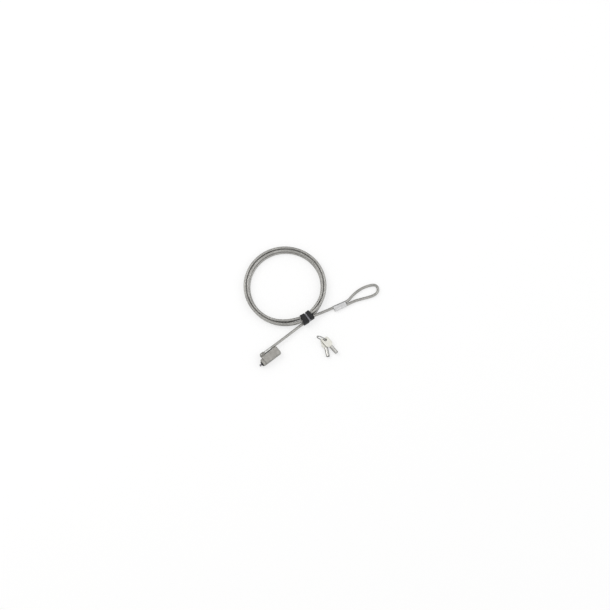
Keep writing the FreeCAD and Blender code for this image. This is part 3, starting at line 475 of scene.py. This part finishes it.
def makeCableMaterial(name, finish):
    material, tree, shader = newMaterial(name)
    pattern = useGroup(tree, strandPattern, Strands=float(cable["strands"]), Lay=cable["lay"],
                       Wires=float(cable["wires"]))
    grain = useGrain(tree, finish["skin"], finish["broad"])
    drift = rampNode(tree, grain.outputs["Broad"], *noiseSpan)
    steel = mixColours(tree, drift, finish["shade"], finish["steel"])
    grooved = mixColours(tree, pattern.outputs["Groove"], steel, finish["groove"])
    # painted shade: near-black laid where ambient occlusion finds the cable's turns close together
    creviceShadeMask = useGroup(tree, creviceShade, **finish["creviceShade"])
    creviceShadeShare = mathNode(tree, "MULTIPLY", creviceShadeMask.outputs["Mask"], finish["creviceShadeShare"])
    creviceShaded = mixColours(tree, creviceShadeShare, grooved, creviceShadeTone["colour"])
    tree.links.new(creviceShaded, shader.inputs["Base Color"])
    dull = rampNode(tree, grain.outputs["Fine"], *noiseSpan, *finish["roughness"])
    tree.links.new(dull, shader.inputs["Roughness"])
    shader.inputs["Metallic"].default_value = finish["metallic"]
    for label, value in finish["coat"].items():
        shader.inputs["Coat " + label].default_value = value
    addBump(tree, shader, pattern.outputs["Height"], finish["strandDepth"])
    return material


cableMaterial = makeCableMaterial("coatedRope", cableFinish)


# Tie strap cloth: brushed loops between two woven edges. The UV map gives the way across the
# strap and the distance along it in metres.
strapCloth = {
    "black": {
        "pile": (0.008, 0.008, 0.009), "fleck": (0.024, 0.024, 0.026), "edge": (0.006, 0.006, 0.007),
    },
    "pale": {
        "pile": (0.17, 0.17, 0.19), "fleck": (0.27, 0.27, 0.295), "edge": (0.13, 0.13, 0.145),
    },
    "roughness": (0.95, 0.75),
    "heights": (0.2, 1.4),
    "sheen": 0.12,
    "specular": 0.25,
    "pileDepth": 0.00025,
}
pileShape = {
    "edge": (0.405, 0.42),  # the woven edge begins here, in widths from the middle
    "loopSpan": (0.0, 0.6),
    "loopHeight": 0.7,
    "ribHeight": 0.8,
    "fleck": (0.45, 1.1),
}


def makeLoopPile(setup):
    tree, source, result = newGroup(
        "loopPile",
        [("Loop Scale", floatSocket, 2200.0), ("Rib Pitch", floatSocket, 0.0007)],
        [("Height", floatSocket), ("Fleck", floatSocket), ("Edge", floatSocket)],
    )
    uvMap = addNode(tree, "ShaderNodeUVMap")
    split = addNode(tree, "ShaderNodeSeparateXYZ")
    tree.links.new(uvMap.outputs["UV"], split.inputs["Vector"])
    place = tree.nodes.new("ShaderNodeTexCoord")
    loops = addNode(tree, "ShaderNodeTexVoronoi")
    tree.links.new(place.outputs["Object"], loops.inputs["Vector"])
    tree.links.new(source.outputs["Loop Scale"], loops.inputs["Scale"])
    fuzz = addNode(tree, "ShaderNodeTexNoise")
    fuzz.inputs["Scale"].default_value = 1400.0
    fuzz.inputs["Detail"].default_value = 6.0
    tree.links.new(place.outputs["Object"], fuzz.inputs["Vector"])
    ribs = ridgeNode(tree, mathNode(tree, "DIVIDE", split.outputs["Y"], source.outputs["Rib Pitch"]))
    offMiddle = mathNode(tree, "ABSOLUTE", mathNode(tree, "SUBTRACT", split.outputs["X"], 0.5))
    edge = rampNode(tree, offMiddle, *setup["edge"])
    loopTops = rampNode(tree, loops.outputs["Distance"], *setup["loopSpan"])
    raised = mathNode(tree, "MULTIPLY", loopTops, setup["loopHeight"])
    pile = mathNode(tree, "ADD", fuzz.outputs["Fac"], raised)
    inside = mathNode(tree, "MULTIPLY", pile, mathNode(tree, "SUBTRACT", 1.0, edge))
    woven = mathNode(tree, "MULTIPLY", mathNode(tree, "MULTIPLY", ribs, edge), setup["ribHeight"])
    tree.links.new(mathNode(tree, "ADD", inside, woven), result.inputs["Height"])
    tree.links.new(rampNode(tree, pile, *setup["fleck"]), result.inputs["Fleck"])
    tree.links.new(edge, result.inputs["Edge"])
    return tree


loopPile = makeLoopPile(pileShape)


def makeStrapMaterial(name, tones, cloth):
    material, tree, shader = newMaterial(name)
    pile = useGroup(tree, loopPile)
    body = mixColours(tree, pile.outputs["Fleck"], tones["pile"], tones["fleck"])
    colour = mixColours(tree, pile.outputs["Edge"], body, tones["edge"])
    tree.links.new(colour, shader.inputs["Base Color"])
    dull = rampNode(tree, pile.outputs["Height"], *cloth["heights"], *cloth["roughness"])
    tree.links.new(dull, shader.inputs["Roughness"])
    shader.inputs["Sheen Weight"].default_value = cloth["sheen"]
    shader.inputs["Sheen Roughness"].default_value = 0.5
    shader.inputs["Specular IOR Level"].default_value = cloth["specular"]
    addBump(tree, shader, pile.outputs["Height"], cloth["pileDepth"])
    return material


blackCloth = makeStrapMaterial("blackLoopTape", strapCloth["black"], strapCloth)
paleCloth = makeStrapMaterial("paleHookTape", strapCloth["pale"], strapCloth)
print("materials made")


# CAD nodes keep their shape and take their finish here
nodeFinishes = {
    "satinNickel": ["lock_housing", "nose_cap"],
    "shadedLugNickel": ["swivel_lug"],
    "brightNickel": ["cable_ferrule", "hinge_pin"],
    "crimpAluminium": ["loop_ferrule"],
    "keyNickel": ["key_a_bow", "key_b_bow"],
    "barrelNickel": ["key_a_barrel", "key_b_barrel"],
    "ringSteel": ["split_ring"],
    "hardSteel": [
        "t_bar", "guide_pins", "anchor_post", "thrust_washer", "retaining_pin", "stop_pin",
        "drive_pin", "drive_collar", "rope_core", "pin_springs",
    ],
    "turnedBrass": [
        "cylinder_sleeve", "pin_block", "rotor", "key_pins", "driver_pins", "shaft_bush",
    ],
    "bezelSteel": ["keyway_bezel"],
}


def dressNode(node, material):
    node.data.materials.clear()
    node.data.materials.append(material)


for finishName, nodeNames in nodeFinishes.items():
    for nodeName in nodeNames:
        dressNode(nodes[nodeName], metals[finishName])
dressNode(nodes["nose_pad"], blackRubber)


# Coil, in millimetres and degrees: four turns in a square bundle that leans on its tie strap.
# Away from the strap the bundle swells and slumps: its two upper turns lie further out than the
# lower ones, by the stagger. Just before the strap the inner turns part from the outer ones, in
# the gap, and from the strap on each turn changes its place in the bundle, over the swap.
coil = {
    "centre": (87.9, 76.65),
    "radius": 60.8,
    "width": 9.0,
    "height": 8.9,
    "pitch": 4.58,
    "farSwell": 0.9,
    "stagger": 2.2,
    "turns": 4,
    "pointsPerTurn": 20,
    "firstAngle": -76.0,
    "lastAngle": 247.0,
    "swapStart": -101.0,
    "swapSpan": 34.0,
    "gapFrom": -138.0,
    "gapTo": -98.0,
    "gapShift": 2.1,
    "gapEase": 0.7,
    "wobble": 0.18,
    "wobbleStep": 70.0,
}
strap = {
    "angle": -94.6,
    "thickness": 1.0,
    "play": 0.15,
    "corner": 2.6,
    "columns": 12,
    "rowStep": 0.7,
    "lapRise": 3.0,
    "waveHeight": 0.12,
    "waveAlong": 0.35,
    "waveAcross": 2.0,
    "wallShare": 0.9,
    "softEdge": 0.22,
    "sharpAngle": 50.0,
}
strapDrop = strap["thickness"] + strap["play"]
coilOuter = coil["radius"] + coil["width"] / 2
coilInner = coil["radius"] - coil["width"] / 2
leanAngle = math.asin(strapDrop / (coilOuter + coilInner - strapDrop))
leanTurn = math.radians(strap["angle"])
lean = Matrix.Rotation(leanAngle, 3, Vector((math.sin(leanTurn), -math.cos(leanTurn), 0)))
coilBase = Vector((*coil["centre"], coilOuter * math.sin(leanAngle)))


def onCoil(radius, degrees, height):
    turn = math.radians(degrees)
    flat = Vector((radius * math.cos(turn), radius * math.sin(turn), height))
    return coilBase + lean @ flat


def easeStep(value):
    value = min(1.0, max(0.0, value))
    return value * value * (3.0 - 2.0 * value)


# From 0 at the strap to 1 on the coil's far side
def farShare(degrees):
    return 0.5 - 0.5 * math.cos(math.radians(degrees - strap["angle"]))


# The direction in which a turn lies from the bundle's middle, slots counted from the outer
# bottom one inwards and up
def slotTurn(slot):
    return math.radians(slot * 90.0 + 45.0)


# Radius and height of a turn's centre
def bundlePlace(slot):
    half = coil["pitch"] / math.sqrt(2.0)
    turn = -slotTurn(slot)
    return coil["radius"] + half * math.cos(turn), coil["height"] / 2 + half * math.sin(turn)


def coilPoints():
    points = []
    step = 360.0 / coil["pointsPerTurn"]
    swell = 1.0 / math.cos(math.radians(step / 2))  # the curve runs inside its points
    first = coil["firstAngle"]
    last = coil["lastAngle"] + 360.0 * (coil["turns"] - 1)
    count = round((last - first) / step)
    for k in range(count + 1):
        degrees = first + (last - first) * k / count
        turnNumber = math.floor((degrees - coil["swapStart"]) / 360.0)
        within = degrees - coil["swapStart"] - 360.0 * turnNumber
        slot = turnNumber - 1 + easeStep(within / coil["swapSpan"]) if turnNumber else 0.0
        radius, height = bundlePlace(slot)
        upper = -math.sin(slotTurn(slot)) * math.sqrt(0.5)
        radius += coil["stagger"] * upper * farShare(degrees)
        gap = (within + coil["swapStart"] - 360.0 - coil["gapFrom"]) / (coil["gapTo"] - coil["gapFrom"])
        if 0.0 < gap < 1.0:
            inner = max(0.0, -math.cos(slotTurn(slot)))
            radius -= coil["gapShift"] * inner * math.sin(math.pi * gap) ** coil["gapEase"]
        wave = math.sin(math.radians(2.0 * degrees + coil["wobbleStep"] * turnNumber))
        radius += coil["wobble"] * wave
        radius += coil["farSwell"] * farShare(degrees)
        points.append(onCoil(radius * swell, degrees, height))
    return points


# Cable route, in millimetres: out of the ferrule, under the strap into the coil, out over it
# to the crimp, round the loop and back into the crimp
crimp = {
    "centre": (136.5, -2.35, 2.8),
    "angle": -13.1,
    "length": 21.0,
    "spacing": 4.6,
    "exit": 4.6,
    "lead": 15.0,
}


def inCrimp(along, side):
    turn = Matrix.Rotation(math.radians(crimp["angle"]), 3, "Z")
    return Vector(crimp["centre"]) + turn @ Vector((along, side * crimp["spacing"] / 2, 0))


halfCrimp = crimp["length"] / 2
onTable = 2.25  # height of the cable's middle where it lies on the table
leadRoute = [
    Vector((7.9, 10.15, 5.3)),
    Vector((25.0, 10.15, 5.3)),
    Vector((50.0, 10.45, 4.4)),
    Vector((73.5, 10.8, 3.4)),
    Vector((90.5, 11.0, 3.35)),
]
tailRoute = [
    Vector((75.0, 13.75, 7.95)),
    Vector((94.0, 9.45, 7.9)),
    inCrimp(-halfCrimp - crimp["lead"], 1),
    inCrimp(-halfCrimp, 1),
]
loopRoute = [
    inCrimp(halfCrimp + crimp["exit"], 1),
    Vector((160.5, -1.45, 2.4)),
    Vector((169.5, 0.05, onTable)),
    Vector((177.7, -0.05, onTable)),
    Vector((186.0, -1.0, onTable)),
    Vector((192.8, -3.2, onTable)),
    Vector((198.8, -5.8, onTable)),
    Vector((203.9, -9.45, onTable)),
    Vector((204.1, -15.65, onTable)),
    Vector((200.2, -20.45, onTable)),
    Vector((193.8, -21.95, onTable)),
    Vector((185.9, -20.1, onTable)),
    Vector((177.8, -16.8, onTable)),
    Vector((169.5, -13.2, onTable)),
    Vector((160.8, -9.9, 2.4)),
    inCrimp(halfCrimp + crimp["exit"], -1),
    inCrimp(-halfCrimp, -1),
]


# The route's own smooth line, read back as points in metres
def splineThrough(points, fineness):
    line = bpy.data.curves.new("cableRoute", "CURVE")
    line.dimensions = "3D"
    line.resolution_u = fineness
    spline = line.splines.new("NURBS")
    spline.points.add(len(points) - 1)
    for place, point in zip(spline.points, points):
        place.co = (*(point * mm), 1.0)
    spline.order_u = 3
    spline.use_endpoint_u = True
    holder = bpy.data.objects.new("cableRoute", line)
    bpy.context.scene.collection.objects.link(holder)
    mesh = bpy.data.meshes.new_from_object(holder)
    path = [vertex.co.copy() for vertex in mesh.vertices]
    bpy.data.objects.remove(holder)
    bpy.data.curves.remove(line)
    bpy.data.meshes.remove(mesh)
    return path


def spreadEvenly(path, step):
    reached = [0.0]
    for before, after in zip(path, path[1:]):
        reached.append(reached[-1] + (after - before).length)
    count = max(2, round(reached[-1] / step))
    spread = []
    k = 0
    for number in range(count + 1):
        wanted = reached[-1] * number / count
        while k < len(path) - 2 and reached[k + 1] < wanted:
            k += 1
        share = (wanted - reached[k]) / max(1e-9, reached[k + 1] - reached[k])
        spread.append(path[k].lerp(path[k + 1], min(1.0, share)))
    return spread, reached[-1]


# A tube of softly lobed section that twists along its path, closed at both ends
def makeCableTube(name, path, length, setup, material):
    sides = setup["sides"]
    vertices = []
    distances = []
    across = Vector((0, 0, 1))
    for k, point in enumerate(path):
        ahead = (path[min(k + 1, len(path) - 1)] - path[max(k - 1, 0)]).normalized()
        across = (across - ahead * across.dot(ahead)).normalized()
        other = ahead.cross(across)
        along = length * k / (len(path) - 1)
        distances.append(along)
        for j in range(sides):
            turn = 2 * math.pi * j / sides
            ridge = abs(math.sin(math.pi * setup["strands"] * (j / sides - along / setup["lay"])))
            radius = setup["diameter"] / 2 * (1.0 - setup["lobe"] * (1.0 - ridge ** setup["crown"]))
            vertices.append(point + (across * math.cos(turn) + other * math.sin(turn)) * radius)
    faces = []
    corners = []
    for k in range(len(path) - 1):
        ring, nextRing = k * sides, (k + 1) * sides
        here, there = distances[k], distances[k + 1]
        for j in range(sides):
            after = (j + 1) % sides
            faces.append((ring + j, ring + after, nextRing + after, nextRing + j))
            left, right = j / sides, (j + 1) / sides
            corners.append(((left, here), (right, here), (right, there), (left, there)))
    for row, order in ((0, range(sides - 1, -1, -1)), (len(path) - 1, range(sides))):
        faces.append(tuple(row * sides + j for j in order))
        corners.append(tuple((j / sides, distances[row]) for j in order))
    mesh = bpy.data.meshes.new(name)
    mesh.from_pydata(vertices, [], faces)
    uvLayer = mesh.uv_layers.new(name="alongCable")
    for polygon, places in zip(mesh.polygons, corners):
        for loop, place in zip(polygon.loop_indices, places):
            uvLayer.data[loop].uv = place
        polygon.use_smooth = len(polygon.vertices) == 4
    mesh.materials.append(material)
    tube = bpy.data.objects.new(name, mesh)
    bpy.context.scene.collection.objects.link(tube)
    return tube


route = leadRoute + coilPoints() + tailRoute + loopRoute
cablePath, cableLength = spreadEvenly(splineThrough(route, cable["fineness"]), cable["ringStep"])
cablePiece = makeCableTube("steel_cable", cablePath, cableLength, cable, cableMaterial)
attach(cablePiece, "cable")
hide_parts("cable_lead", "cable_coil", "cable_tail", "cable_loop")
print("cable made,", round(cableLength, 3), "m long")


# Tie strap: two wraps of black loop tape, with the paler hook tape showing between them. Each
# wrap starts on top and goes round the bundle, and the black ones lap over their own start. From
# and to are millimetres along the coil from the strap's middle, and outer is the bundle's outer
# radius at each of them.
strapWraps = {
    "strap_left": {
        "from": -8.85, "to": -0.55, "outer": (70.3, 69.75), "thick": 1.0, "lap": 17.0,
        "cloth": blackCloth,
    },
    "strap_middle": {
        "from": -1.1, "to": 2.7, "outer": (69.3, 69.2), "thick": 0.65, "lap": 0.0,
        "cloth": paleCloth,
    },
    "strap_right": {
        "from": 2.15, "to": 8.85, "outer": (68.6, 69.5), "thick": 1.0, "lap": 14.0,
        "cloth": blackCloth,
    },
}


# Corner radius and straight lengths of the way round the bundle
def bundleSides(outer):
    corner = strap["corner"] - strap["thickness"]
    wide = outer - coilInner + strap["play"] - 2 * corner
    tall = coil["height"] + 2 * strap["play"] - 2 * corner
    return corner, wide, tall


def roundLength(outer):
    corner, wide, tall = bundleSides(outer)
    return 2 * (wide + tall) + 2 * math.pi * corner


# Radius and height at a distance round the bundle, from the inner end of its top face. A leg
# has its length, a place and either the angle where its arc starts or the way that it runs.
def aroundBundle(distance, outer, lift):
    corner, wide, tall = bundleSides(outer)
    inner = coilInner - strap["play"]
    low = -strap["play"]
    high = coil["height"] + strap["play"]
    arc = math.pi * corner / 2
    legs = [
        (arc, inner + corner, high - corner, 90.0),
        (tall, inner - lift, high - corner, (0, -1)),
        (arc, inner + corner, low + corner, 180.0),
        (wide, inner + corner, low - lift, (1, 0)),
        (arc, outer - corner, low + corner, 270.0),
        (tall, outer + lift, low + corner, (0, 1)),
        (arc, outer - corner, high - corner, 360.0),
        (wide, outer - corner, high + lift, (-1, 0)),
    ]
    distance %= roundLength(outer)
    while distance > legs[0][0] and len(legs) > 1:
        distance -= legs.pop(0)[0]
    span, radius, height, course = legs[0]
    if isinstance(course, tuple):
        return radius + course[0] * distance, height + course[1] * distance
    turn = math.radians(course + 90.0 * distance / span)
    reach = corner + lift
    return radius + reach * math.cos(turn), height + reach * math.sin(turn)


# A strip wound round the bundle, thickened outwards, with softly waved faces
def makeWrap(name, setup):
    start, end = setup["from"], setup["to"]
    outerStart, outerEnd = setup["outer"]
    full = roundLength(outerStart)
    topLength = bundleSides(outerStart)[1]
    total = full + setup["lap"]
    rows = round(total / strap["rowStep"])
    bpy.ops.mesh.primitive_grid_add(x_subdivisions=strap["columns"], y_subdivisions=rows, size=1.0)
    wrap = bpy.context.active_object
    wrap.name = name
    mesh = wrap.data
    for vertex in mesh.vertices:
        across = vertex.co.x + 0.5
        distance = (vertex.co.y + 0.5) * total
        outer = outerStart + (outerEnd - outerStart) * across
        place = Vector((distance * strap["waveAlong"], across * strap["waveAcross"], start))
        lift = strap["waveHeight"] * noise.noise(place)
        if setup["lap"]:
            lift += setup["thick"] * easeStep((distance - full + strap["lapRise"]) / strap["lapRise"])
        scaled = (full - topLength + distance) * roundLength(outer) / full
        radius, height = aroundBundle(scaled, outer, lift)
        angle = strap["angle"] + math.degrees((start + (end - start) * across) / coil["radius"])
        vertex.co = onCoil(radius, angle, height) * mm
    for item in mesh.uv_layers.active.data:
        item.uv = (item.uv[0], item.uv[1] * total * mm)
    wall = wrap.modifiers.new("wall", "SOLIDIFY")
    wall.thickness = setup["thick"] * strap["wallShare"] * mm
    wall.offset = 1.0
    wall.use_even_offset = True
    softening = wrap.modifiers.new("softening", "BEVEL")
    softening.width = strap["softEdge"] * mm
    softening.segments = 2
    softening.limit_method = "ANGLE"
    softening.angle_limit = math.radians(strap["sharpAngle"])
    for modifier in ("wall", "softening"):
        bpy.ops.object.modifier_apply(modifier=modifier)
    bpy.ops.object.shade_smooth_by_angle(angle=math.radians(strap["sharpAngle"]))
    mesh.materials.append(setup["cloth"])
    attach(wrap, "cable")
    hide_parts("tie_strap")
    return wrap


strapPieces = [makeWrap(name, setup) for name, setup in strapWraps.items()]
print("tie strap made")


# Table: pale and dull, and whiter still where the camera sees it
table = {
    "size": 6.0,
    "place": (0.09, 0.04, -0.0001),
    "colour": (0.95, 0.95, 0.95),
    "mottle": 0.995,
    "fine": 900.0,
    "broad": 3.0,
    "roughness": 0.9,
    "specular": 0.1,
    "white": 0.65,
}


def makeTable(setup):
    material, tree, shader = newMaterial("paleTable")
    grain = useGrain(tree, setup["fine"], setup["broad"])
    greyer = tuple(value * setup["mottle"] for value in setup["colour"])
    mottled = mixColours(tree, grain.outputs["Broad"], greyer, setup["colour"])
    tree.links.new(mottled, shader.inputs["Base Color"])
    shader.inputs["Roughness"].default_value = setup["roughness"]
    shader.inputs["Specular IOR Level"].default_value = setup["specular"]
    plain = tree.nodes.new("ShaderNodeEmission")
    seen = tree.nodes.new("ShaderNodeLightPath")
    whitened = mathNode(tree, "MULTIPLY", seen.outputs["Is Camera Ray"], setup["white"])
    mixed = mixShaders(tree, whitened, shader, plain)
    tree.links.new(mixed.outputs[0], tree.nodes["Material Output"].inputs["Surface"])
    bpy.ops.mesh.primitive_plane_add(size=setup["size"], location=setup["place"])
    top = bpy.context.active_object
    top.name = "table_top"
    top.data.materials.append(material)


makeTable(table)

# Light: a window at the picture's left, a weaker lamp at its right, and the room
lamps = {
    "windowLamp": {
        "place": (-0.5, 1.5, 1.7), "size": 1.5, "power": 18.0, "colour": (1.0, 0.99, 0.97),
    },
    "fillLamp": {
        "place": (1.5, -0.9, 1.6), "size": 1.8, "power": 9.0, "colour": (0.98, 0.99, 1.0),
    },
}
lampAim = Vector((0.09, 0.04, 0.0))


def addLamp(name, setup):
    light = bpy.data.lights.new(name, "AREA")
    light.energy = setup["power"]
    light.size = setup["size"]
    light.color = setup["colour"]
    lamp = bpy.data.objects.new(name, light)
    lamp.location = setup["place"]
    lamp.rotation_mode = "QUATERNION"
    lamp.rotation_quaternion = (lampAim - lamp.location).to_track_quat("-Z", "Y")
    bpy.context.scene.collection.objects.link(lamp)


for lampName, lampSetup in lamps.items():
    addLamp(lampName, lampSetup)

# The room lights everything evenly, is white where it is seen, and has a dim side and a bright
# one in the metal's reflections
room = {
    "ambient": 0.76,
    "white": 1.0,
    "bright": 1.0,
    "dim": 0.06,
    "dimBelow": 0.25,
    "brightAbove": 0.95,
    "rise": 0.75,
    "near": 0.45,
    "base": 0.3,
}


def makeRoom(setup):
    world = bpy.data.worlds.new("studioRoom")
    bpy.context.scene.world = world
    world.use_nodes = True
    tree = world.node_tree
    tree.nodes.clear()
    result = tree.nodes.new("ShaderNodeOutputWorld")
    path = tree.nodes.new("ShaderNodeLightPath")
    place = tree.nodes.new("ShaderNodeTexCoord")
    split = addNode(tree, "ShaderNodeSeparateXYZ")
    tree.links.new(place.outputs["Generated"], split.inputs["Vector"])
    overhead = mathNode(tree, "MULTIPLY", split.outputs["Z"], setup["rise"])
    nearer = mathNode(tree, "MULTIPLY", split.outputs["Y"], -setup["near"])
    share = mathNode(tree, "ADD", mathNode(tree, "ADD", overhead, nearer), setup["base"])
    wall = rampNode(tree, share, setup["dimBelow"], setup["brightAbove"], setup["dim"], setup["bright"])
    mirrored, lit, seen = [addNode(tree, "ShaderNodeBackground") for number in range(3)]
    for background, strength in ((mirrored, wall), (lit, setup["ambient"]), (seen, setup["white"])):
        background.inputs["Color"].default_value = (1.0, 1.0, 1.0, 1.0)
        feed(tree, background.inputs["Strength"], strength)
    glossy = mixShaders(tree, path.outputs["Is Glossy Ray"], lit, mirrored)
    cameraRay = path.outputs["Is Camera Ray"]
    direct = mathNode(tree, "MAXIMUM", cameraRay, path.outputs["Is Transmission Ray"])
    final = mixShaders(tree, direct, glossy, seen)
    tree.links.new(final.outputs[0], result.inputs["Surface"])


makeRoom(room)
bpy.context.scene.view_settings.view_transform = "Standard"
print("table and light made")
